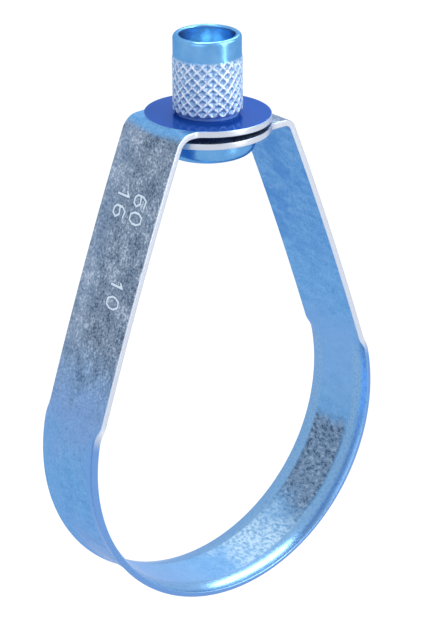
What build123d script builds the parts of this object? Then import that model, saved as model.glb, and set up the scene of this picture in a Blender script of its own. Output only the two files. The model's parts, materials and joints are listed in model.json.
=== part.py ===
from build123d import *
import os
from math import atan2, cos, degrees, hypot, pi, sin, sqrt

# Swivel ring hanger for a pipe: a teardrop band of flat steel strip whose two ends are round
# eyelets, one above the other, round the neck of a knurled nut that takes the hanger rod.
# Millimetres. Origin at the centre of the pipe, +Y along the pipe, +Z up the hanger rod.

# Band
ring_inner_radius = 31.75       # inside of the ring, where the pipe lies
strip_width = 15.875
strip_thickness = 1.2
lip_face_radius = 8.6           # convex inner face of the lips flared out along the ring's edges
lip_length = 3.5                # how much of the strip's width each lip takes, at mid thickness
lip_runout = 3.2                # stretch of the ring in which a lip fades into the flat arm
runout_steps = 4
arm_bow_radius = 720.0          # the arms are bowed outwards a little
upper_bend_radius = 2.5         # inside of the bend between an arm and its eyelet
lower_bend_radius = 1.35
eyelet_radius = 11.57
neck_fillet = 2.2               # where a round eyelet runs into its arm
upper_neck_length = 0.65        # flat edge between the neck's fillet and the upper bend
eyelet_top = 60.85              # top face of the upper eyelet above the pipe's centre
eyelet_gap = 1.15               # daylight between the two eyelets

# Nut
neck_radius = 5.6               # journal that turns in the eyelets
swivel_clearance = 0.08         # radial clearance of the journal in the eyelets
knurl_radius = 6.35
knurl_pitch = 1.88              # from diamond to diamond, along the nut and around it
knurl_rows = 11                 # staggered, so two rows to a pitch
knurl_depth = 0.42
knurl_clearance = 0.6           # between the knurl and the upper eyelet
collar_radius = 6.22
collar_easing = 0.7             # two cones in place of a sharp edge
mouth_radius = 5.1              # plain lead-in that guides the rod to the thread
mouth_chamfer = 0.3
mouth_depth = 5.0
rod_thread_radius = 3.97        # tapping bore of the 3/8 inch rod thread
rod_end_chamfer = 0.8
nut_rise = 14.55                # top of the nut above the upper eyelet
flange_radius = 8.7             # collar that carries the eyelets
flange_height = 4.0
flange_crown = 2.1              # rounding of the flange's lower edge
flange_chamfer = 0.3
flange_clearance = 0.1          # between the flange and the lower eyelet

mid_lip_radius = lip_face_radius - strip_thickness / 2
lip_angle = lip_length / mid_lip_radius
half_flat = strip_width / 2 - lip_length
neck_start = sqrt((eyelet_radius + neck_fillet) ** 2 - (strip_width / 2 + neck_fillet) ** 2)
lower_eyelet_top = eyelet_top - strip_thickness - eyelet_gap
hole_radius = neck_radius + swivel_clearance
flange_top = lower_eyelet_top - strip_thickness - flange_clearance
flange_bottom = flange_top - flange_height
nut_top = eyelet_top + nut_rise
knurl_bottom = eyelet_top + knurl_clearance
knurl_top = knurl_bottom + knurl_rows * knurl_pitch / 2
knurl_root = knurl_radius - knurl_depth
mouth_floor = nut_top - mouth_depth


def arm_bow(top_face, bend_line, bend_radius):
    """Centre of an arm's bow on the +X side, and its angles where it leaves the ring and where it
    meets its bend. The arm's inner face is an arc that touches the ring's inner circle and the
    bend's inner circle, so its centre lies at a known distance from the centre of each.
    """
    bend_height = top_face - strip_thickness - bend_radius
    from_ring = arm_bow_radius - ring_inner_radius
    from_bend = arm_bow_radius - bend_radius
    span = hypot(bend_line, bend_height)
    along = (from_ring**2 - from_bend**2 + span**2) / (2 * span)
    aside = sqrt(from_ring**2 - along**2)
    centre_x = (along * bend_line - aside * bend_height) / span
    centre_z = (along * bend_height + aside * bend_line) / span
    leaves = atan2(-centre_z, -centre_x)
    meets = atan2(bend_height - centre_z, bend_line - centre_x)
    return centre_x, centre_z, leaves, meets


def band_section(bend):
    """Cross-section of the strip on the ring: X is the distance from the pipe's axis, Y runs along
    it. Each edge is rolled outwards as an arc of the given angle, whose length stays the same.
    """
    mid_face = ring_inner_radius + strip_thickness / 2

    def lip(offset, side):
        start = (mid_face + offset, side * half_flat)
        if bend == 0:
            tip = (mid_face + offset, side * strip_width / 2)
            return start, Line(start, tip), tip
        centre = mid_face + lip_length / bend
        radius = centre - mid_face - offset
        middle, tip = [
            (centre - radius * cos(angle), side * (half_flat + radius * sin(angle)))
            for angle in (bend / 2, bend)
        ]
        return start, ThreePointArc(start, middle, tip), tip

    outline = []
    for offset in (-strip_thickness / 2, strip_thickness / 2):
        ends = [lip(offset, side) for side in (1, -1)]
        outline += [ends[0][1], ends[1][1], Line(ends[0][0], ends[1][0])]
    for side in (1, -1):
        outline.append(Line(lip(-strip_thickness / 2, side)[2], lip(strip_thickness / 2, side)[2]))
    return make_face(outline)


def ring(right_end, left_end):
    """Lower part of the ring with its flared lips, between the two runouts."""
    runout_angle = lip_runout / ring_inner_radius
    sweep = pi + right_end + left_end - 2 * runout_angle
    arc = revolve(band_section(lip_angle), Axis.Y, degrees(sweep))
    return Rot(0, degrees(runout_angle - right_end), 0) * arc


def lip_fade(leaves):
    """The stretch on the +X side where the lips rise out of the flat arm."""
    sections = []
    for step in range(runout_steps + 1):
        share = step / runout_steps
        turn = leaves - share * lip_runout / ring_inner_radius
        bend = lip_angle * share**2 * (3 - 2 * share)
        sections.append(Rot(0, -degrees(turn), 0) * band_section(bend))
    return loft(sections, ruled=True)


def arm(top_face, bend_line, bend_radius):
    """Arm and bend on the +X side, as one side view drawn out to the strip's width."""
    centre_x, centre_z, leaves, meets = arm_bow(top_face, bend_line, bend_radius)
    bend_height = top_face - strip_thickness - bend_radius
    middle = (leaves + meets) / 2
    upright = pi / 2

    def bow(radius, angle):
        return (centre_x + radius * cos(angle), centre_z + radius * sin(angle))

    def turn(radius, angle):
        return (bend_line + radius * cos(angle), bend_height + radius * sin(angle))

    outer_bow = arm_bow_radius + strip_thickness
    outer_bend = bend_radius + strip_thickness
    half_turn = (meets + upright) / 2
    outline = [
        ThreePointArc(bow(arm_bow_radius, leaves), bow(arm_bow_radius, middle), bow(arm_bow_radius, meets)),
        ThreePointArc(turn(bend_radius, meets), turn(bend_radius, half_turn), turn(bend_radius, upright)),
        Line(turn(bend_radius, upright), turn(outer_bend, upright)),
        ThreePointArc(turn(outer_bend, upright), turn(outer_bend, half_turn), turn(outer_bend, meets)),
        ThreePointArc(bow(outer_bow, meets), bow(outer_bow, middle), bow(outer_bow, leaves)),
        Line(bow(outer_bow, leaves), bow(arm_bow_radius, leaves)),
    ]
    side_view = Plane.XZ * make_face(outline)
    return extrude(side_view, strip_width / 2, both=True)


def eyelet(top_face, bend_line):
    """Round eyelet on the +X arm, with its neck and the hole that the nut turns in. Where the bend
    starts inside the eyelet's circle, the flat plate stands out over the bend.
    """
    blank = Circle(eyelet_radius) + Pos(bend_line / 2, 0) * Rectangle(bend_line, strip_width)
    edge_start = sqrt(eyelet_radius**2 - (strip_width / 2) ** 2)
    corners = [(edge_start, side * strip_width / 2) for side in (1, -1)]
    necks = [blank.vertices().sort_by_distance(corner)[0] for corner in corners]
    blank = fillet(necks, neck_fillet) - Circle(hole_radius)
    return Pos(0, 0, top_face - strip_thickness) * extrude(blank, strip_thickness)


def half_band(top_face, bend_line, bend_radius):
    """Arm, lip runout and eyelet on the +X side."""
    leaves = arm_bow(top_face, bend_line, bend_radius)[2]
    return lip_fade(leaves) + arm(top_face, bend_line, bend_radius) + eyelet(top_face, bend_line)


def ring_band():
    upper = (eyelet_top, neck_start + upper_neck_length, upper_bend_radius)
    lower = (lower_eyelet_top, eyelet_radius, lower_bend_radius)
    left = mirror(half_band(*upper), Plane.YZ)
    right = half_band(*lower)
    return ring(arm_bow(*lower)[2], arm_bow(*upper)[2]) + left + right


def knurled_bar():
    """Bar whose side is the knurl: ridges cross between points on the outside, in staggered levels,
    and each diamond between four such points falls in to a pit.
    """
    around = round(2 * pi * knurl_radius / knurl_pitch)

    def point(radius, level, step):
        turn = step * 2 * pi / around
        return Vector(radius * cos(turn), radius * sin(turn), knurl_bottom + level * knurl_pitch / 2)

    faces = []
    for level in range(knurl_rows + 1):
        end_outline = []
        for cell in range(around):
            first = cell + level % 2 / 2
            left = point(knurl_radius, level, first)
            right = point(knurl_radius, level, first + 1)
            pit = point(knurl_root, level, first + 0.5)
            end_outline += [left, pit]
            for other in (level - 1, level + 1):
                if 0 <= other <= knurl_rows:
                    tip = point(knurl_radius, other, first + 0.5)
                    faces.append(Face(Wire.make_polygon([left, tip, pit])))
                    faces.append(Face(Wire.make_polygon([tip, right, pit])))
        if level in (0, knurl_rows):
            faces.append(Face(Wire.make_polygon(end_outline)))
    return Solid(Shell(faces))


def turned_blank():
    """The nut as it comes off the lathe, with its flange rolled out under the eyelets, before its
    side is knurled and its bore is cut.
    """
    crown_start = (flange_radius - flange_crown, flange_bottom)
    crown_end = (flange_radius, flange_bottom + flange_crown)
    crown_middle = (crown_start[0] + flange_crown * sqrt(0.5), crown_end[1] - flange_crown * sqrt(0.5))
    eased = collar_easing * (1 - sqrt(0.5))
    section = make_face([
        Line((0, flange_bottom), crown_start),
        ThreePointArc(crown_start, crown_middle, crown_end),
        Polyline(
            crown_end,
            (flange_radius, flange_top - flange_chamfer),
            (flange_radius - flange_chamfer, flange_top),
            (neck_radius, flange_top),
            (neck_radius, knurl_top),
            (collar_radius, knurl_top),
            (collar_radius, nut_top - collar_easing),
            (collar_radius - eased, nut_top - eased),
            (collar_radius - collar_easing, nut_top),
            (0, nut_top),
            (0, flange_bottom),
        ),
    ])
    return revolve(Plane.XZ * section, Axis.Z)


def bore():
    """What is cut out for the rod: its lead-in, the thread's tapping bore and their chamfers."""
    section = make_face(Polyline(
        (0, flange_bottom),
        (rod_thread_radius + rod_end_chamfer, flange_bottom),
        (rod_thread_radius, flange_bottom + rod_end_chamfer),
        (rod_thread_radius, mouth_floor - (mouth_radius - rod_thread_radius)),
        (mouth_radius, mouth_floor),
        (mouth_radius, nut_top - mouth_chamfer),
        (mouth_radius + mouth_chamfer, nut_top),
        (0, nut_top),
        close=True,
    ))
    return revolve(Plane.XZ * section, Axis.Z)


def insert_nut():
    return turned_blank() + knurled_bar() - bore()


os.makedirs("parts", exist_ok=True)
for name, solid in (("ring_band", ring_band()), ("insert_nut", insert_nut())):
    export_step(solid, f"parts/{name}.step")
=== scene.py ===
import json
from math import atan2, cos, hypot, pi, radians, sin, sqrt

import bmesh
import bpy
import numpy as np
from mathutils import Matrix, Vector


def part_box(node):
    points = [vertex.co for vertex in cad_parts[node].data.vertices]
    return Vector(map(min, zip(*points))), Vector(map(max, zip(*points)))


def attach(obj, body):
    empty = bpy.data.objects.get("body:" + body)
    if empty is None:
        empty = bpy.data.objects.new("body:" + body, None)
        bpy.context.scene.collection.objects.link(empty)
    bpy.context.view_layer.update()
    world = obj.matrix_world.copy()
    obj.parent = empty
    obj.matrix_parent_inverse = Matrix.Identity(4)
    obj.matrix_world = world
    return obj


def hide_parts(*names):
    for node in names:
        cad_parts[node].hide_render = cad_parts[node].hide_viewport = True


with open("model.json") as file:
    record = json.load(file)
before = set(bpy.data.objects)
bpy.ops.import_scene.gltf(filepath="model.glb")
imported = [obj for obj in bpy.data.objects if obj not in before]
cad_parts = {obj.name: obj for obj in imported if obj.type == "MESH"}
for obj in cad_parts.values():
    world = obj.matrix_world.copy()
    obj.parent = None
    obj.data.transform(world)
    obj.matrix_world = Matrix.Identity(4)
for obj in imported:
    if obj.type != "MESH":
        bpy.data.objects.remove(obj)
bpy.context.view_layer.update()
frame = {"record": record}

# Swivel ring hanger: a zinc-plated strip band with stacked eyelets, and the knurled nut that
# turns in them. Metres, in the CAD frame: origin at the pipe's centre, +Y along the pipe, +Z up.

mounts = {mount["name"]: mount for mount in frame["record"]["mounts"]}
band_low, band_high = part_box("ring_band")
nut_low, nut_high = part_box("insert_nut")

# Band, as it is in the solids
ring_inner_radius = mounts["pipe_seat"]["dims"]["r_mm"] / 1000
half_flat = mounts["pipe_seat"]["dims"]["length_mm"] / 2000
lip_length = 0.0035
strip_half = half_flat + lip_length
strip_thickness = 0.0012
lip_face_radius = 0.0086
lip_angle = lip_length / (lip_face_radius - strip_thickness / 2)
lip_runout = 0.0032
arm_bow_radius = 0.72
upper_bend_radius = 0.0025
lower_bend_radius = 0.00135
eyelet_radius = band_high[1]
neck_fillet = 0.0022
neck_start = sqrt((eyelet_radius + neck_fillet) ** 2 - (strip_half + neck_fillet) ** 2)
upper_neck_length = 0.00065
upper_bend = neck_start + upper_neck_length
lower_bend = eyelet_radius
eyelet_top = band_high[2]
eyelet_gap = 0.00115
lower_eyelet_top = eyelet_top - strip_thickness - eyelet_gap

# Nut, as it is in the solids
neck_radius = 0.0056
swivel_clearance = 0.00008
hole_radius = neck_radius + swivel_clearance
knurl_radius = 0.00635
knurl_pitch = 0.00188
knurl_around = round(2 * pi * knurl_radius / knurl_pitch)
knurl_rows = 11
knurl_depth = 0.00042
knurl_clearance = 0.0006
knurl_bottom = eyelet_top + knurl_clearance
knurl_top = knurl_bottom + knurl_rows * knurl_pitch / 2
collar_radius = 0.00622
collar_rounding = 0.0007
mouth_radius = 0.0051
mouth_rounding = 0.0003
mouth_depth = 0.005
mouth_floor = nut_high[2] - mouth_depth
bore_radius = mounts["rod_thread"]["dims"]["r_mm"] / 1000
thread_top = mouth_floor - (mouth_radius - bore_radius)
rod_end_chamfer = 0.0008
flange_radius = nut_high[0]
flange_bottom = nut_low[2]
flange_height = 0.004
flange_top = flange_bottom + flange_height
flange_crown = 0.0021
flange_chamfer = 0.0003

# Fine form, which the solids leave out
edge_rounding = 0.00016
knurl_crest = 0.16
knurl_runout = 0.001
knurl_shoulder = 0.0001
thread_pitch = 0.0254 / 16
thread_depth = 0.0007
thread_steepness = 1.35
thread_crest = 0.2
thread_runout_top = 0.001
thread_runout_foot = 0.0015
eyelet_sag = 0.0004
numerals = ("60   10", "16")
numeral_unit = 0.00105
numeral_start = 0.013
numeral_foot = 0.0008
numeral_row_gap = 4.6
stroke_reach = 0.00036
stroke_slope = 0.00024
stamp_depth = 0.00013

# How finely the meshes are drawn
bend_steps = 16
left_arm_steps = 200
runout_steps = 14
ring_steps = 120
right_arm_steps = 30
face_rows = (0, 0.03, 0.35, 0.7, 0.97, 1)
nut_columns = knurl_around * 14
weld = 2e-7

# Stretches of the strip, along it from the upper eyelet's bend, and their soft borders
ring_span = (0.0575, 0.1715)
lavender_span = (0.046, 0.062)
faint_span = (0.094, 0.112)
pale_span = (0.118, 0.132)
seam_span = (0.131, 0.153)
light_span = (0.157, 0.178)
soft_border = 0.006


class Signal:
    """A value or colour inside a finish. Arithmetic on values adds Math nodes."""

    def __init__(self, finish, socket):
        self.finish = finish
        self.socket = socket

    def math(self, operation, *others):
        return self.finish.math(operation, self, *others)

    def __add__(self, other):
        return self.math("ADD", other)

    def __sub__(self, other):
        return self.math("SUBTRACT", other)

    def __rsub__(self, other):
        return self.finish.math("SUBTRACT", other, self)

    def __mul__(self, other):
        return self.math("MULTIPLY", other)

    __radd__ = __add__


class Finish:
    """A procedural finish: the nodes that vary one shader over the surface of a piece."""

    def __init__(self, name):
        self.material = bpy.data.materials.new(name)
        self.material.use_nodes = True
        self.tree = self.material.node_tree
        self.tree.nodes.clear()
        self.place = self.node("ShaderNodeTexCoord", output="Object")

    def node(self, kind, settings=None, inputs=None, output=0):
        node = self.tree.nodes.new(kind)
        for name, value in (settings or {}).items():
            setattr(node, name, value)
        for key, value in (inputs or {}).items():
            if isinstance(value, Signal):
                self.tree.links.new(value.socket, node.inputs[key])
            else:
                node.inputs[key].default_value = value
        return Signal(self, node.outputs[output]) if node.outputs else None

    def math(self, operation, *values):
        return self.node("ShaderNodeMath", {"operation": operation}, dict(enumerate(values)))

    def axis(self, letter):
        return self.node("ShaderNodeSeparateXYZ", inputs={0: self.place}, output=letter)

    def ramp(self, value, low, high):
        """0 below low, 1 above high and a smooth climb between them."""
        inputs = {0: value, 1: low, 2: high}
        return self.node("ShaderNodeMapRange", {"interpolation_type": "SMOOTHSTEP"}, inputs)

    def mix(self, share, first, second):
        """First colour where share is 0 and second colour where it is 1."""
        settings = {"data_type": "RGBA", "clamp_factor": True}
        return self.node("ShaderNodeMix", settings, {0: share, 6: first, 7: second}, output=2)

    def follow(self, name):
        """The three parts of the place that the mesh keeps at its points under this name."""
        place = self.node("ShaderNodeAttribute", {"attribute_name": name}, output="Vector")
        return [self.node("ShaderNodeSeparateXYZ", inputs={0: place}, output=letter) for letter in "XYZ"]

    def between(self, value, start, end, blur):
        """1 between start and end and 0 outside, with soft borders blur wide."""
        return self.ramp(value, start - blur, start + blur) * self.ramp(value, end + blur, end - blur)

    def clouds(self, size, detail=3.0, roughness=0.5, stretch=(1, 1, 1), turned=(0, 0, 0)):
        """Soft noise between 0 and 1, its blotches about size metres across."""
        place = self.node("ShaderNodeMapping", inputs={0: self.place, 2: turned, 3: stretch})
        inputs = {"Vector": place, "Scale": 1 / size, "Detail": detail, "Roughness": roughness}
        return self.node("ShaderNodeTexNoise", inputs=inputs)

    def metal(self, colour, **inputs):
        shader = self.node("ShaderNodeBsdfPrincipled", inputs={"Base Color": colour, **inputs})
        self.node("ShaderNodeOutputMaterial", inputs={0: shader})


def colour(red, green, blue):
    """Scene colour that shows as the given red, green and blue on a screen, each from 0 to 255."""
    shown = np.array([red, green, blue]) / 255
    light = np.where(shown <= 0.04045, shown / 12.92, ((shown + 0.055) / 1.055) ** 2.4)
    return (*light.tolist(), 1)


def sealed_mesh(name, patches, places=None):
    """One closed mesh from patches, which are grids of points: a quad between each four neighbours,
    and points of touching patches welded. All the faces are then turned outwards. places gives the
    finish a place of its own at every point.
    """
    points = np.vstack([patch.reshape(-1, 3) for patch in patches])
    quads = []
    first = 0
    for patch in patches:
        rows, columns = patch.shape[:2]
        index = first + np.arange(rows * columns).reshape(rows, columns)
        corners = (index[:-1, :-1], index[1:, :-1], index[1:, 1:], index[:-1, 1:])
        quads.append(np.stack(corners, axis=-1).reshape(-1, 4))
        first += rows * columns
    quads = np.vstack(quads)
    mesh = bpy.data.meshes.new(name)
    mesh.vertices.add(len(points))
    mesh.vertices.foreach_set("co", points.ravel().astype(np.float32))
    mesh.loops.add(quads.size)
    mesh.loops.foreach_set("vertex_index", quads.ravel())
    mesh.polygons.add(len(quads))
    mesh.polygons.foreach_set("loop_start", np.arange(0, quads.size, 4))
    mesh.update(calc_edges=True)
    if places:
        values = np.vstack([place.reshape(-1, 3) for place in places]).ravel()
        mesh.attributes.new("place", "FLOAT_VECTOR", "POINT").data.foreach_set("vector", values)
    work = bmesh.new()
    work.from_mesh(mesh)
    bmesh.ops.remove_doubles(work, verts=work.verts, dist=weld)
    bmesh.ops.dissolve_degenerate(work, edges=work.edges, dist=weld)
    bmesh.ops.recalc_face_normals(work, faces=work.faces)
    work.to_mesh(mesh)
    work.free()
    mesh.shade_smooth()
    return mesh


def add_piece(name, mesh, finish, body, node):
    """Puts a finished mesh into the scene in place of a node of the solids, riding on its body."""
    mesh.materials.append(finish.material)
    piece = bpy.data.objects.new(name, mesh)
    bpy.context.scene.collection.objects.link(piece)
    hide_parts(node)
    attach(piece, body)


def leg(start, end, steps):
    """Straight run of points from start to end, without its last one."""
    share = np.linspace(0, 1, steps, endpoint=False)[:, None]
    return np.array(start) * (1 - share) + np.array(end) * share


def turn(centre, radius, start, end, steps):
    """Points on an arc round centre between two angles in radians, without the last one."""
    angle = np.linspace(start, end, steps, endpoint=False)
    return np.array(centre) + radius * np.column_stack([np.cos(angle), np.sin(angle)])


def smooth(share):
    """A smooth climb from 0 to 1, level at both ends."""
    share = np.clip(share, 0, 1)
    return share**2 * (3 - 2 * share)


# Band

def arm_bow(top_face, bend_line, bend_radius):
    """Centre of an arm's bow on the +X side, and its angles where it leaves the ring and where it
    meets its bend. Its inner face is an arc that touches the ring's inner circle and the bend's.
    """
    bend_height = top_face - strip_thickness - bend_radius
    from_ring = arm_bow_radius - ring_inner_radius
    from_bend = arm_bow_radius - bend_radius
    span = hypot(bend_line, bend_height)
    along = (from_ring**2 - from_bend**2 + span**2) / (2 * span)
    aside = sqrt(from_ring**2 - along**2)
    centre_x = (along * bend_line - aside * bend_height) / span
    centre_z = (along * bend_height + aside * bend_line) / span
    leaves = atan2(-centre_z, -centre_x)
    meets = atan2(bend_height - centre_z, bend_line - centre_x)
    return centre_x, centre_z, leaves, meets


def strip_path():
    """The strip's way from the upper eyelet's bend round the pipe to the lower eyelet's bend, as
    arcs at mid thickness. Columns: centre x, centre z, radius, angle, share of the lips' flare and
    distance along the strip.
    """
    half = strip_thickness / 2
    left = arm_bow(eyelet_top, upper_bend, upper_bend_radius)
    right = arm_bow(lower_eyelet_top, lower_bend, lower_bend_radius)
    upper_height = eyelet_top - strip_thickness - upper_bend_radius
    lower_height = lower_eyelet_top - strip_thickness - lower_bend_radius
    ring_start, ring_end = pi - left[2], 2 * pi + right[2]
    bow_start, bow_end = pi - left[3], 2 * pi + right[3]
    fade = lip_runout / ring_inner_radius
    arcs = (
        (-upper_bend, upper_height, upper_bend_radius, pi / 2, bow_start, bend_steps),
        (-left[0], left[1], arm_bow_radius, bow_start, ring_start, left_arm_steps),
        (0, 0, ring_inner_radius, ring_start, ring_start + fade, runout_steps),
        (0, 0, ring_inner_radius, ring_start + fade, ring_end - fade, ring_steps),
        (0, 0, ring_inner_radius, ring_end - fade, ring_end, runout_steps),
        (right[0], right[1], arm_bow_radius, ring_end, bow_end, right_arm_steps),
        (lower_bend, lower_height, lower_bend_radius, bow_end, 2.5 * pi, bend_steps),
    )
    rows = []
    along = 0
    for centre_x, centre_z, radius, start, end, steps in arcs:
        for angle in np.linspace(start, end, steps, endpoint=False):
            rows.append((centre_x, centre_z, radius + half, angle, along + radius * abs(angle - start)))
        along += radius * abs(end - start)
    rows.append((*arcs[-1][:2], arcs[-1][2] + half, arcs[-1][4], along))
    path = np.array(rows)
    on_ring = (path[:, 0] == 0) & (path[:, 1] == 0)
    from_ends = np.minimum(path[:, 3] - ring_start, ring_end - path[:, 3])
    flare = np.where(on_ring, smooth(from_ends / fade), 0)
    return np.column_stack([path[:, :4], flare, path[:, 4]])


def across_strip():
    """Places of the points across one face of the strip, closer together on the lips."""
    edge = strip_half - edge_rounding
    lip = np.append(leg((half_flat,), (edge,), 8)[:, 0], (edge - edge_rounding / 2, edge))
    flat = np.linspace(-half_flat, half_flat, 49)
    return np.concatenate([-lip[:0:-1], flat[:-1], lip])


def edge_profile():
    """Rounded edge of the strip from its outer face round to its inner face, as how far each point
    lies beyond the faces' end and how far it lies above mid thickness.
    """
    flat = strip_thickness / 2 - edge_rounding
    outer = turn((0, flat), edge_rounding, pi / 2, 0, 4)
    inner = turn((0, -flat), edge_rounding, 0, -pi / 2, 4)
    side = leg((edge_rounding, flat), (edge_rounding, -flat), 3)
    return np.vstack([outer, side, inner, [(0, -strip_thickness / 2)]])


def on_strip(path, across, height):
    """Point of the strip at a place on its path, a distance across it and a height above its mid
    thickness. Each lip is an arc that starts at half_flat and bends outwards from the ring.
    """
    centre_x, centre_z, radius, angle, flare = path[:5]
    curl = flare * lip_angle / lip_length
    beyond = np.clip(np.abs(across) - half_flat, 0, None)
    tilt = curl * beyond
    straight = np.where(tilt > 0, 0, beyond)
    safe_curl = np.where(curl > 0, curl, 1)
    rise = np.where(curl > 0, (1 - np.cos(tilt)) / safe_curl, 0) + height * np.cos(tilt)
    reach = np.where(curl > 0, np.sin(tilt) / safe_curl, 0) - height * np.sin(tilt)
    distance = np.minimum(np.abs(across), half_flat) + reach + straight
    out = radius + rise
    x = centre_x + out * np.cos(angle)
    y = np.sign(across) * distance
    z = centre_z + out * np.sin(angle)
    return np.stack(np.broadcast_arrays(x, y, z), axis=-1)


def plate_wall(across):
    """Edge of the upper eyelet's flat plate where it stands out over the bend, at each place across
    the strip: rounded off at the top and then straight down to the bend's outer face.
    """
    out = np.sqrt(np.clip(eyelet_radius**2 - across**2, upper_bend**2, None))
    outer_bend = upper_bend_radius + strip_thickness
    lean = np.arcsin((out - upper_bend) / outer_bend)
    drop = outer_bend * (1 - np.cos(lean))
    eased = np.minimum(edge_rounding, drop / 2)
    round_off = np.linspace(0, pi / 2, 5)[:, None]
    inset = 1 - eased * (1 - np.sin(round_off)) / eyelet_radius
    height = eyelet_top - eased * (1 - np.cos(round_off))
    return np.stack([-out * inset, across * inset, height], axis=-1), lean


def numeral_strokes():
    """Strokes of the plain numerals on the left arm, in digit units: a digit is 2 wide and 3 high
    and the next one starts 3 further on. Each stroke is a chain of points.
    """
    shapes = {
        "0": ((0, 1), (0.5, 0), (1.5, 0), (2, 1), (2, 2), (1.5, 3), (0.5, 3), (0, 2), (0, 1)),
        "1": ((0.3, 2.3), (1, 3), (1, 0)),
        "6": ((1.8, 2.8), (0.6, 3), (0, 2), (0, 0.6), (0.6, 0), (1.5, 0), (2, 0.8), (1.4, 1.7), (0, 1.4)),
    }
    strokes = []
    for row, text in enumerate(numerals):
        for place, digit in enumerate(text):
            if digit in shapes:
                strokes.append(np.array(shapes[digit]) + (3 * place, -numeral_row_gap * row))
    return strokes


def numeral_depth(along, across):
    """How deep the numerals are pressed at each place of the strip's outer face, from 0 to 1: full
    within the stroke's width and rising smoothly to nothing beside it.
    """
    right = (along - numeral_start) / numeral_unit
    up = (-across - numeral_foot) / numeral_unit
    nearest = np.full(np.broadcast_shapes(right.shape, up.shape), np.inf)
    for stroke in numeral_strokes():
        for (x, y), (end_x, end_y) in zip(stroke[:-1], stroke[1:]):
            run, rise = end_x - x, end_y - y
            share = np.clip(((right - x) * run + (up - y) * rise) / (run**2 + rise**2), 0, 1)
            nearest = np.minimum(nearest, np.hypot(right - x - share * run, up - y - share * rise))
    return smooth((stroke_reach - nearest * numeral_unit) / stroke_slope)


def strip_patches():
    """Grids of the strip's two faces and two edges, and the place on the strip of their points:
    along it, across it, and 1 on the outer face, -1 on the inner one and between on the edges.
    """
    path = strip_path().T[:, :, None]
    half = strip_thickness / 2
    across = across_strip()[None, :]
    wall, lean = plate_wall(across)
    bend = path[:, :bend_steps] + np.zeros_like(across)
    share = np.linspace(1, 0, bend_steps, endpoint=False)[:, None]
    bend[3] += lean * share
    rest = path[:, bend_steps:]
    pressed = numeral_depth(rest[5], across)
    edge = edge_profile()
    beyond = strip_half - edge_rounding + edge[None, :, 0]
    height = edge[None, :, 1]
    outer = (wall, on_strip(bend, across, half), on_strip(rest, across, half - stamp_depth * pressed))
    patches = [
        np.vstack(outer),
        on_strip(path, across, -half),
        on_strip(path, beyond, height),
        on_strip(path, -beyond, height),
    ]
    wall_place = (np.zeros((wall.shape[0], 1)), across, 1)
    bend_place = (path[5, :bend_steps], across, 1)
    rest_place = (rest[5], across, 1 + pressed)
    places = [
        np.vstack([place_grid(*parts) for parts in (wall_place, bend_place, rest_place)]),
        place_grid(path[5], across, -1),
        place_grid(path[5], beyond, height / half),
        place_grid(path[5], -beyond, height / half),
    ]
    return patches, places


def settled(points):
    """The upper eyelet hangs a little lower on the side away from its arm."""
    x, y, z = np.moveaxis(points, -1, 0)
    upper = z > lower_eyelet_top + eyelet_gap / 2
    sag = np.where(upper, eyelet_sag * smooth((x + upper_bend) / (2 * upper_bend)), 0)
    return np.stack([x, y, z - sag], axis=-1)


def place_grid(*parts):
    """One grid of triples from three grids that are stretched to the same shape."""
    return np.stack(np.broadcast_arrays(*parts), axis=-1)


def eyelet_outline(bend_line):
    """Outline of an eyelet's flat face on the +X side and its outward normals: along the strip's
    edge from the bend line, round the neck's fillet and round the eyelet, edge rounding left off.
    """
    inset = edge_rounding
    reach = eyelet_radius + neck_fillet
    fillet_y = strip_half + neck_fillet
    fillet_x = sqrt(reach**2 - fillet_y**2)
    towards = atan2(fillet_y, fillet_x)
    edge = leg((bend_line, strip_half - inset), (fillet_x, strip_half - inset), 4)
    corner = turn((fillet_x, fillet_y), neck_fillet + inset, -pi / 2, towards - pi, 8)
    circle = turn((0, 0), eyelet_radius - inset, towards, pi, 60)
    half = np.vstack([edge, corner, circle])
    corner_normals = -turn((0, 0), 1, -pi / 2, towards - pi, 8)
    normals = np.vstack([[(0.0, 1.0)] * 4, corner_normals, turn((0, 0), 1, towards, pi, 60)])
    middle = (-(eyelet_radius - inset), 0.0)
    points = np.vstack([half, [middle], half[::-1] * (1, -1)])
    return points, np.vstack([normals, [(-1.0, 0.0)], normals[::-1] * (1, -1)])


def eyelet_patches(top_face, bend_line, side, top_neck):
    """Flat faces, rounded rim and hole of the eyelet on the given side of the pipe. top_neck is
    where the top face ends over the bend; the bottom face ends along the bend line.
    """
    outline, normals = eyelet_outline(bend_line)
    across = across_strip()
    bottom_neck = np.column_stack([np.full(len(across), bend_line), across])
    edge = edge_profile()
    middle = top_face - strip_thickness / 2
    share = np.array(face_rows)[:, None, None]

    def raised(flat, height):
        height = np.broadcast_to(middle + height, flat.shape[:2])
        return np.dstack([side * flat[..., 0], flat[..., 1], height])

    border = np.vstack([outline, bottom_neck[1:]])
    bearing = np.arctan2(border[:, 1], border[:, 0])
    around = np.column_stack([np.cos(bearing), np.sin(bearing)])
    hole_edge = (hole_radius + edge_rounding) * around
    top_border = np.vstack([outline, top_neck[1:]])
    rim = outline[:, None] + normals[:, None] * edge[None, :, :1]
    bore = (hole_radius + edge_rounding - edge[None, :, :1]) * around[:, None]
    height = edge[None, :, 1]
    patches = [
        raised(hole_edge * (1 - share) + top_border * share, strip_thickness / 2),
        raised(hole_edge * (1 - share) + border * share, -strip_thickness / 2),
        raised(rim, height),
        raised(bore, height),
    ]
    end = 0 if side < 0 else strip_path()[-1, 5]
    sides = (1, -1, height * 2 / strip_thickness, height * 2 / strip_thickness)
    places = []
    for patch, face in zip(patches, sides):
        along = end + side * (bend_line - side * patch[..., 0])
        places.append(place_grid(along, patch[..., 1], np.broadcast_to(face, along.shape)))
    return patches, places


# Nut

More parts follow.
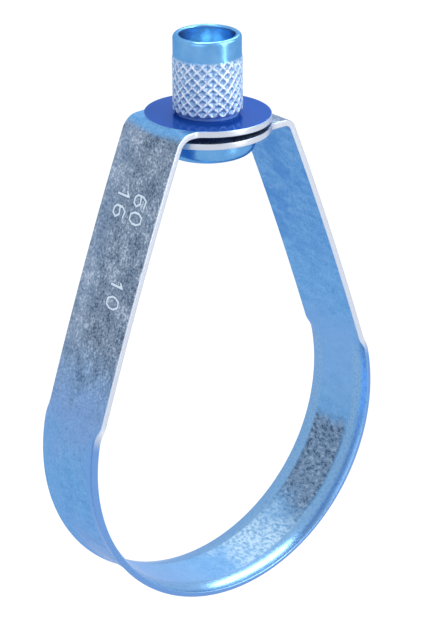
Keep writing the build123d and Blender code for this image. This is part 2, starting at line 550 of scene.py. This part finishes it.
def nut_rows():
    """Half section of the nut as a closed loop of points (radius, height), from the bore's lower end
    outwards and up, and what each one lies on: 1 for the knurl, 2 for the thread, 0 elsewhere.
    """
    nut_top = nut_high[2]
    crown = (flange_radius - flange_crown, flange_bottom + flange_crown)
    collar = (collar_radius - collar_rounding, nut_top - collar_rounding)
    mouth = (mouth_radius + mouth_rounding, nut_top - mouth_rounding)
    shoulder = flange_top - flange_chamfer
    legs = (
        (leg((bore_radius + rod_end_chamfer, flange_bottom), (crown[0], flange_bottom), 3), 0),
        (turn(crown, flange_crown, -pi / 2, 0, 14), 0),
        (leg((flange_radius, crown[1]), (flange_radius, shoulder), 4), 0),
        (leg((flange_radius, shoulder), (flange_radius - flange_chamfer, flange_top), 3), 0),
        (leg((flange_radius - flange_chamfer, flange_top), (neck_radius, flange_top), 4), 0),
        (leg((neck_radius, flange_top), (neck_radius, knurl_bottom), 8), 0),
        (leg((neck_radius, knurl_bottom), (knurl_radius - knurl_shoulder, knurl_bottom), 3), 0),
        (leg((knurl_radius, knurl_bottom + knurl_shoulder), (knurl_radius, knurl_top), 78), 1),
        (leg((collar_radius, knurl_top), (collar_radius, collar[1]), 10), 0),
        (turn(collar, collar_rounding, 0, pi / 2, 8), 0),
        (leg((collar[0], nut_top), (mouth[0], nut_top), 2), 0),
        (turn(mouth, mouth_rounding, pi / 2, pi, 6), 0),
        (leg((mouth_radius, mouth[1]), (mouth_radius, mouth_floor), 10), 0),
        (leg((mouth_radius, mouth_floor), (bore_radius, thread_top), 4), 0),
        (leg((bore_radius, thread_top), (bore_radius, flange_bottom + rod_end_chamfer), 100), 2),
        (leg((bore_radius, flange_bottom + rod_end_chamfer),
             (bore_radius + rod_end_chamfer, flange_bottom), 3), 0),
    )
    points = np.vstack([run for run, kind in legs])
    kinds = np.concatenate([np.full(len(run), kind) for run, kind in legs])
    return points, kinds


def knurl_fall(bearing, height):
    """How far the knurl lies below its ridges, from 0 to 1. Two families of ridges cross; each spot
    is as low as its distance from the nearest ridge, past the ridge's narrow crest.
    """
    turns = bearing * knurl_around / (2 * pi)
    levels = (height - knurl_bottom) / knurl_pitch
    falls = []
    for family in (turns + levels, turns - levels):
        from_ridge = np.abs(family - np.round(family)) * 2
        falls.append(np.clip((from_ridge - knurl_crest) / (1 - knurl_crest), 0, 1))
    return np.minimum(*falls)


def thread_cut(bearing, height):
    """Depth of the rod thread's groove, from 0 on its crest to 1 at its bottom: a flat-topped
    triangle wave along the nut that climbs one pitch in a turn.
    """
    phase = height / thread_pitch - bearing / (2 * pi)
    wave = np.abs(phase - np.round(phase)) * 2
    return np.clip(wave * thread_steepness - thread_crest, 0, 1)


def nut_patch():
    """The nut's surface as one grid round its axis, and for its finish how far the knurl falls, how
    deep the thread's groove is and whether the point is knurled.
    """
    points, kinds = nut_rows()
    points = np.vstack([points, points[:1]])
    kinds = np.append(kinds, kinds[:1])
    bearing = np.linspace(0, 2 * pi, nut_columns + 1)[None, :]
    radius, height = points[:, :1], points[:, 1:]
    fade = smooth((height - thread_top) / -thread_runout_top)
    fade = fade * smooth((height - flange_bottom) / thread_runout_foot)
    top_fade = smooth((knurl_top - height) / knurl_runout)
    fall = (kinds == 1)[:, None] * knurl_fall(bearing, height) * top_fade
    groove = (kinds == 2)[:, None] * thread_cut(bearing, height) * fade
    step = (kinds == 1)[:, None] * (knurl_radius - collar_radius) * (1 - top_fade)
    radius = radius - knurl_depth * fall - step + thread_depth * groove
    place = place_grid(fall, groove, (kinds == 1)[:, None] * top_fade)
    return place_grid(radius * np.cos(bearing), radius * np.sin(bearing), height), place


# Finishes

def band_finish():
    """Blue zinc plate on the strip: grey spangle on the arms' outer faces, made paler towards the
    strip's +Y edge as painted light, blue on the ring, paler stretches and a darker grey mottled
    patch inside it with soft seams that are partly stain and partly painted crease shade, a smooth
    upper eyelet painted deep blue as a painted reflection, smoother lips, pressed numerals with
    painted shade on their slopes and partly a painted highlight on their floors, and cut edges,
    pale on the arms as partly bare metal and partly a painted reflection.
    """
    finish = Finish("zinc_plated_strip")
    along, across, face = finish.follow("place")
    x, y, z = [finish.axis(letter) for letter in "XYZ"]
    outer = finish.ramp(face, 0.8, 0.99)
    inner = finish.ramp(face, -0.8, -0.99)
    radius = (x * x + y * y).math("SQRT")
    in_eyelet = finish.ramp(radius, eyelet_radius, eyelet_radius - 0.0002)
    disc = in_eyelet * finish.ramp(z, eyelet_top - 0.0007, eyelet_top - 0.0005)
    on_ring = finish.between(along, *ring_span, 0.002)
    lip = finish.ramp(across.math("ABSOLUTE"), half_flat - 0.0002, half_flat + 0.0006) * on_ring

    fine = finish.clouds(0.0005, detail=4, roughness=0.7)
    coarse = finish.clouds(0.0035, detail=2)
    fleck = fine * 0.7 + coarse * 0.3
    wander = (coarse - 0.5) * 0.012
    here = along + wander
    # The ramp across the strip makes the spangle paler towards its +Y edge: painted light.
    dark_fleck = finish.mix(finish.ramp(across, 0.001, 0.006), colour(72, 90, 116), colour(94, 118, 150))
    mid_fleck = finish.mix(finish.ramp(across, 0.001, 0.006), colour(124, 143, 166), colour(136, 156, 182))
    spangle = finish.mix(finish.ramp(fleck, 0.37, 0.5), dark_fleck, mid_fleck)
    spangle = finish.mix(finish.ramp(fleck, 0.51, 0.62), spangle, colour(184, 198, 218))
    streaks = finish.clouds(0.0014, detail=4, stretch=(1, 0.45, 1), turned=(0.3, 0, 0.3))
    dark_grain = finish.ramp(fine, 0.5, 0.38) * 0.4
    light_grain = finish.ramp(fine, 0.52, 0.64) * 0.4
    blue = finish.mix(finish.ramp(streaks, 0.3, 0.7), colour(98, 156, 210), colour(116, 170, 220))
    lavender = finish.between(here, *lavender_span, 0.008)
    blue = finish.mix(lavender * 0.7, blue, colour(134, 161, 210))
    blue = finish.mix(dark_grain, blue, colour(66, 124, 188))
    blue = finish.mix(light_grain, blue, colour(138, 186, 228))

    left_arm = finish.ramp(along, 0.0012, 0.0026) * finish.ramp(here, 0.0575, 0.039)
    right_arm = finish.ramp(here, 0.172, 0.182)
    outside = finish.mix(lip * 0.6, blue, colour(112, 160, 214))
    outside = finish.mix(left_arm + right_arm, outside, spangle)
    # Pressed numerals: the darker slope is painted shade, and the paler floor is partly paler pressed
    # metal and partly a painted highlight.
    outside = finish.mix(finish.ramp(face, 1.02, 1.3) * 0.7, outside, colour(72, 90, 122))
    outside = finish.mix(finish.ramp(face, 1.4, 1.9), outside, colour(212, 228, 243))
    # Deep blue on the upper eyelet's top face: a painted reflection, kept as the colour of that face.
    outside = finish.mix(disc, outside, colour(32, 82, 168))

    mottle = finish.clouds(0.00065, detail=4, roughness=0.7, stretch=(1, 0.6, 1))
    deeper = finish.mix(finish.ramp(streaks, 0.3, 0.7), colour(90, 148, 206), colour(108, 162, 214))
    deeper = finish.mix(dark_grain, deeper, colour(58, 114, 178))
    deeper = finish.mix(light_grain, deeper, colour(130, 178, 222))
    wisps = finish.clouds(0.0045, detail=4, roughness=0.6, stretch=(1, 0.6, 0.8), turned=(0.6, 0, 0.3))
    deeper = finish.mix(finish.ramp(wisps, 0.5, 0.6) * 0.6, deeper, colour(68, 128, 196))
    pale = finish.mix(finish.ramp(mottle, 0.36, 0.6), colour(114, 161, 206), colour(184, 214, 236))
    # A darker grey mottled patch inside the ring.
    grey_mottle = finish.mix(finish.ramp(mottle, 0.38, 0.5), colour(66, 88, 118), colour(114, 141, 172))
    grey_mottle = finish.mix(finish.ramp(mottle, 0.54, 0.66), grey_mottle, colour(156, 178, 202))
    faint_stretch = finish.between(here, *faint_span, soft_border)
    pale_stretch = finish.between(here, *pale_span, soft_border)
    light_stretch = finish.between(here, *light_span, soft_border)
    inside = finish.mix(finish.ramp(here, 0.184, 0.204), blue, deeper)
    inside = finish.mix(faint_stretch * 0.6, inside, colour(142, 184, 226))
    inside = finish.mix(pale_stretch, inside, pale)
    inside = finish.mix(light_stretch * 0.6, inside, colour(124, 167, 216))
    patch = finish.ramp(along + wander * 0.4 - across * 0.4, 0.131, 0.139)
    patch = patch * finish.ramp(along + wander * 0.3, 0.1565, 0.1525)
    patch = patch * finish.between(across + wander * 0.1, -0.0043, 0.0047, 0.0006)
    inside = finish.mix(patch, inside, grey_mottle)
    # Soft darker seams where the flat meets the lips beside the patch: partly stain and partly painted
    # shade of the crease.
    seam_shade = finish.between(across.math("ABSOLUTE"), 0.0039, 0.0045, 0.0004)
    seam_shade = seam_shade * finish.between(along, *seam_span, 0.004)
    inside = finish.mix(lip, inside, colour(126, 170, 212))
    inside = finish.mix(lip * dark_grain, inside, colour(70, 126, 190))
    inside = finish.mix(seam_shade * finish.ramp(mottle, 0.66, 0.5) * 0.4, inside, colour(66, 92, 124))
    # Cut edges pale on the arms and of the plate's blue on the ring: the arms' pale is partly bare metal
    # and partly a painted reflection.
    edge = finish.mix(on_ring, colour(198, 204, 216), colour(110, 152, 210))
    paint = finish.mix(outer, edge, outside)
    paint = finish.mix(inner, paint, inside)
    finish.metal(
        paint,
        **{
            "Metallic": 0.85 - disc * 0.45,
            "Roughness": 0.32 - disc * 0.24 - lip * 0.08,
            "Specular Tint": (0.62, 0.7, 0.9, 1),
            "Specular IOR Level": 0.02,
        }
    )
    return finish


def nut_finish():
    """Blue zinc plate on the nut, the same all the way round: paler on the knurl's ridges, partly worn
    metal and partly painted highlights and glints, darker in its pits and its thread's groove as
    painted shade, and painted light on the inside of the mouth and on the blue neck, both lying in
    shade.
    """
    finish = Finish("zinc_plated_nut")
    fall, groove, knurled = finish.follow("place")
    x, y, z = [finish.axis(letter) for letter in "XYZ"]
    radius = (x * x + y * y).math("SQRT")
    mottle = finish.clouds(0.0022)
    fleck = finish.clouds(0.00055, detail=3, roughness=0.7)
    plain = finish.mix(mottle, colour(78, 142, 204), colour(124, 178, 224))
    # The mouth's inside is painted paler: painted light in the recess.
    mouth = finish.ramp(radius, mouth_radius + 0.0001, mouth_radius - 0.0001)
    mouth = mouth * finish.ramp(z, thread_top - 0.001, thread_top)
    plain = finish.mix(mouth, plain, colour(156, 212, 244))
    # The neck under the knurl is painted a light blue and made less metallic: painted light where shade
    # falls.
    neck = finish.ramp(z, knurl_bottom, knurl_bottom - 0.0001)
    neck = neck * finish.ramp(z, flange_top, flange_top + 0.0002)
    plain = finish.mix(neck, plain, colour(110, 150, 222))
    # Knurl ridges paler with near-white flecks: partly worn metal and partly painted highlights and
    # glints. The pits darker: painted shade.
    ridge = colour(206, 220, 240)
    ridge = finish.mix(finish.ramp(fleck, 0.55, 0.62), ridge, colour(252, 252, 254))
    ridge = finish.mix(finish.ramp(fleck, 0.47, 0.4), ridge, colour(134, 164, 202))
    pit_shade = colour(118, 151, 198)
    pit_shade = finish.mix(finish.ramp(fleck, 0.42, 0.56) * 0.6, pit_shade, colour(160, 190, 222))
    grip = finish.mix(finish.ramp(fall, 0.02, 0.24), ridge, pit_shade)
    paint = finish.mix(knurled, plain, grip)
    # The thread's groove is painted darker: painted shade.
    paint = finish.mix(groove * 0.6, paint, colour(60, 110, 180))
    finish.metal(paint, **{
        "Metallic": 0.95 - knurled * 0.5 - neck * 0.85,
        "Roughness": 0.26 + knurled * 0.06,
        "Specular Tint": (0.45, 0.62, 0.85, 1),
    })
    return finish


patches, places = strip_patches()
across = across_strip()
upper_neck = plate_wall(across[None, :])[0][0, :, :2] * (-1, 1)
lower_neck = np.column_stack([np.full(len(across), lower_bend), across])
for eyelet in ((eyelet_top, upper_bend, -1, upper_neck), (lower_eyelet_top, lower_bend, 1, lower_neck)):
    more_patches, more_places = eyelet_patches(*eyelet)
    patches += more_patches
    places += more_places
patches = [settled(patch) for patch in patches]
add_piece("band", sealed_mesh("band", patches, places), band_finish(), "band", "ring_band")
nut_points, nut_place = nut_patch()
nut_mesh = sealed_mesh("nut", [nut_points], [nut_place])
add_piece("nut", nut_mesh, nut_finish(), "nut", "insert_nut")


# Studio

def set_camera():
    """Camera at the photograph's view: its place is given by the bearing and rise of the line from
    the target back to it, and its roll turns it round that line.
    """
    bearing, rise, roll = radians(-38.596), radians(23.186), radians(-0.574)
    distance, focal_pixels, picture_height = 0.50227, 2693.4, 638
    target = Vector((0.001276, 0, 0.019641))
    back = Vector((sin(bearing) * cos(rise), -cos(bearing) * cos(rise), sin(rise)))
    level = Vector((cos(bearing), sin(bearing), 0))
    upright = back.cross(level)
    right = level * cos(roll) + upright * sin(roll)
    up = upright * cos(roll) - level * sin(roll)
    data = bpy.data.cameras.new("camera")
    data.sensor_width = 36
    data.lens = focal_pixels / picture_height * data.sensor_width
    data.clip_start = 0.05
    data.clip_end = 20
    camera = bpy.data.objects.new("camera", data)
    place = target + back * distance
    camera.matrix_world = Matrix.Translation(place) @ Matrix((right, up, back)).transposed().to_4x4()
    bpy.context.scene.collection.objects.link(camera)
    bpy.context.scene.camera = camera


def add_lamp(name, place, target, size, power, length=(0, 0, 1)):
    """Rectangular lamp aimed at target, its second side as nearly along the length as it can be."""
    data = bpy.data.lights.new(name, "AREA")
    data.shape = "RECTANGLE"
    data.size, data.size_y = size
    data.energy = power
    lamp = bpy.data.objects.new(name, data)
    back = (Vector(place) - Vector(target)).normalized()
    side = Vector(length).cross(back).normalized()
    turned = Matrix((side, back.cross(side), back)).transposed().to_4x4()
    lamp.matrix_world = Matrix.Translation(Vector(place)) @ turned
    bpy.context.scene.collection.objects.link(lamp)


def set_world():
    """White as seen directly, in reflections and through glass, and a soft bluish light elsewhere."""
    world = bpy.data.worlds.new("studio")
    bpy.context.scene.world = world
    world.use_nodes = True
    nodes, links = world.node_tree.nodes, world.node_tree.links
    nodes.clear()
    light = nodes.new("ShaderNodeBackground")
    bluish, strength = (0.8, 0.9, 1.0, 1), 0.6
    light.inputs[0].default_value = bluish
    light.inputs[1].default_value = strength
    seen = nodes.new("ShaderNodeBackground")
    seen.inputs[0].default_value = (1, 1, 1, 1)
    ray = nodes.new("ShaderNodeLightPath")
    either = nodes.new("ShaderNodeMath")
    either.operation = "MAXIMUM"
    any_ray = nodes.new("ShaderNodeMath")
    any_ray.operation = "MAXIMUM"
    choice = nodes.new("ShaderNodeMixShader")
    output = nodes.new("ShaderNodeOutputWorld")
    links.new(ray.outputs["Is Camera Ray"], either.inputs[0])
    links.new(ray.outputs["Is Glossy Ray"], either.inputs[1])
    links.new(either.outputs[0], any_ray.inputs[0])
    links.new(ray.outputs["Is Transmission Ray"], any_ray.inputs[1])
    links.new(any_ray.outputs[0], choice.inputs[0])
    links.new(light.outputs[0], choice.inputs[1])
    links.new(seen.outputs[0], choice.inputs[2])
    links.new(choice.outputs[0], output.inputs[0])


def add_floor():
    """Wide white floor below the part."""
    gap_below, half_width = 0.06, 3
    floor_level = band_low[2] - gap_below
    finish = Finish("studio_floor")
    kinds = ("Camera", "Glossy", "Transmission")
    rays = [finish.node("ShaderNodeLightPath", output=f"Is {kind} Ray") for kind in kinds]
    ray = rays[0].math("MAXIMUM", rays[1]).math("MAXIMUM", rays[2])
    matt = finish.node("ShaderNodeBsdfDiffuse", inputs={0: (0.9, 0.9, 0.9, 1)})
    glow = finish.node("ShaderNodeEmission", inputs={0: (1, 1, 1, 1), 1: 1.06})
    shader = finish.node("ShaderNodeMixShader", inputs={0: ray * 0.9, 1: matt, 2: glow})
    finish.node("ShaderNodeOutputMaterial", inputs={0: shader})
    reach = np.linspace(-half_width, half_width, 3)
    x, y = np.meshgrid(reach, reach)
    corners = np.dstack([x, y, np.full(x.shape, floor_level)])
    mesh = sealed_mesh("floor", [corners])
    mesh.materials.append(finish.material)
    floor = bpy.data.objects.new("floor", mesh)
    bpy.context.scene.collection.objects.link(floor)


set_camera()
set_world()
add_floor()
add_lamp("key", (0.5, -0.5, 0.7), (0, 0, 0.02), (0.75, 0.75), 5)
add_lamp("fill", (-0.8, -0.3, 0.4), (0, 0, 0.02), (0.8, 0.8), 1.5)
add_lamp("strip", (0.155, -0.42, 0.16), (0, 0, 0.06), (0.08, 0.5), 0.8)
add_lamp("rear", (0.19, 0.176, 0.435), (0.006, -0.006, -0.031), (0.09, 0.54), 1.7, (-0.48, -0.106, 0.233))
bpy.context.scene.view_settings.view_transform = "Standard"
